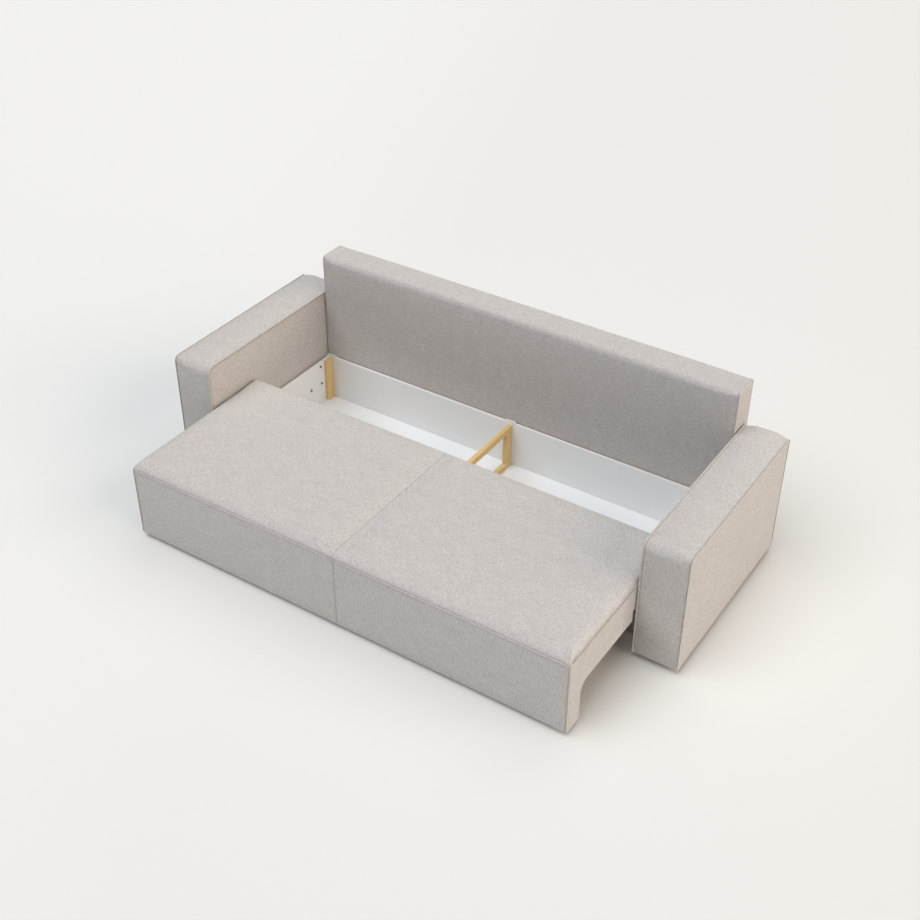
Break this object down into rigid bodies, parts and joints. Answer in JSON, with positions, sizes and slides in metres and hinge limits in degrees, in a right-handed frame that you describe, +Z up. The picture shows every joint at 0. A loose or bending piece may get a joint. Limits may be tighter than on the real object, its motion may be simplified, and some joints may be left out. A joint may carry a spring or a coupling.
{
  "type": "sleeper sofa",
  "caption": "Upholstered sofa bed whose seat pulls out on casters over a storage box and whose backrest folds forward to make a flat bed between two block arms.",
  "frame": {"origin": "on the floor, under the middle of the pulled-out sofa's bounding box", "axes": "+X along the sofa, to the right as seen from the front; +Y from the pulled-out seat towards the backrest; +Z up"},
  "size_m": [2.5, 1.457, 0.775],
  "materials": {
    "woven_fabric": "fine flat woven cloth in a warm light grey melange over foam",
    "covered_board": "board under the same woven cloth",
    "base_cloth": "hardboard under the same woven cloth",
    "white_laminate": "white laminated chipboard, satin, with a thin bright edge",
    "pine": "planed light pine, unvarnished",
    "plywood": "raw plywood",
    "black_plastic": "matt black moulded plastic",
    "steel": "zinc-plated pressed steel",
    "white_steel": "white painted steel"
  },
  "bodies": {
    "base": {"box_floor": "white_laminate", "box_back_panel": "white_laminate", "box_front_panel": "base_cloth", "box_side_left": "white_laminate", "box_side_right": "white_laminate", "arm_cleat_left": "plywood", "arm_cleat_right": "plywood", "rear_post_left": "pine", "rear_post_right": "pine", "skid_left": "black_plastic", "skid_right": "black_plastic", "centre_bottom_bar": "pine", "centre_post": "pine", "centre_top_bar": "pine", "backrest_shelf": "plywood", "rear_panel": "base_cloth", "backrest_rest_strip": "black_plastic", "hinge_base_left": "white_steel", "hinge_base_centre": "white_steel", "hinge_base_right": "white_steel", "hinge_pin_left": "steel", "hinge_pin_centre": "steel", "hinge_pin_right": "steel", "arm_cover_left": "woven_fabric", "arm_cover_right": "woven_fabric", "arm_carcass_left": "plywood", "arm_carcass_right": "plywood", "arm_foot_left_front": "black_plastic", "arm_foot_left_rear": "black_plastic", "arm_foot_right_front": "black_plastic", "arm_foot_right_rear": "black_plastic"},
    "seat": {"seat_cushion_left": "woven_fabric", "seat_cushion_right": "woven_fabric", "seat_front_pad": "woven_fabric", "seat_side_left": "covered_board", "seat_side_right": "covered_board", "seat_front_board": "plywood", "seat_inner_board": "plywood", "seat_deck": "plywood", "seat_rear_rail": "pine", "seat_mid_rail": "pine", "seat_caster_rail": "pine", "seat_glide_left": "black_plastic", "seat_glide_right": "black_plastic", "caster_fork_1": "steel", "caster_fork_2": "steel", "caster_fork_3": "steel", "caster_fork_4": "steel"},
    "backrest": {"backrest_pad": "woven_fabric", "backrest_bottom_rail": "pine", "backrest_top_rail": "pine", "backrest_stile_left": "pine", "backrest_stile_right": "pine", "hinge_leaf_left": "steel", "hinge_leaf_centre": "steel", "hinge_leaf_right": "steel"},
    "wheel_1": {"caster_wheel_1": "black_plastic"},
    "wheel_2": {"caster_wheel_2": "black_plastic"},
    "wheel_3": {"caster_wheel_3": "black_plastic"},
    "wheel_4": {"caster_wheel_4": "black_plastic"}
  },
  "joints": [
    {"name": "seat_slide", "type": "slide", "parent": "base", "child": "seat", "axis": [0, -1, 0], "range_m": [-0.514, 0]},
    {"name": "backrest_fold", "type": "hinge", "parent": "base", "child": "backrest", "pos_m": [0, 0.598, 0.2565], "axis": [1, 0, 0], "range_deg": [0, 90]},
    {"name": "wheel_1_spin", "type": "hinge", "parent": "seat", "child": "wheel_1", "pos_m": [-0.90128, -0.67485, 0.022], "axis": [1, 0, 0], "continuous": true},
    {"name": "wheel_2_spin", "type": "hinge", "parent": "seat", "child": "wheel_2", "pos_m": [-0.3144, -0.67485, 0.022], "axis": [1, 0, 0], "continuous": true},
    {"name": "wheel_3_spin", "type": "hinge", "parent": "seat", "child": "wheel_3", "pos_m": [0.3144, -0.67485, 0.022], "axis": [1, 0, 0], "continuous": true},
    {"name": "wheel_4_spin", "type": "hinge", "parent": "seat", "child": "wheel_4", "pos_m": [0.90128, -0.67485, 0.022], "axis": [1, 0, 0], "continuous": true}
  ]
}
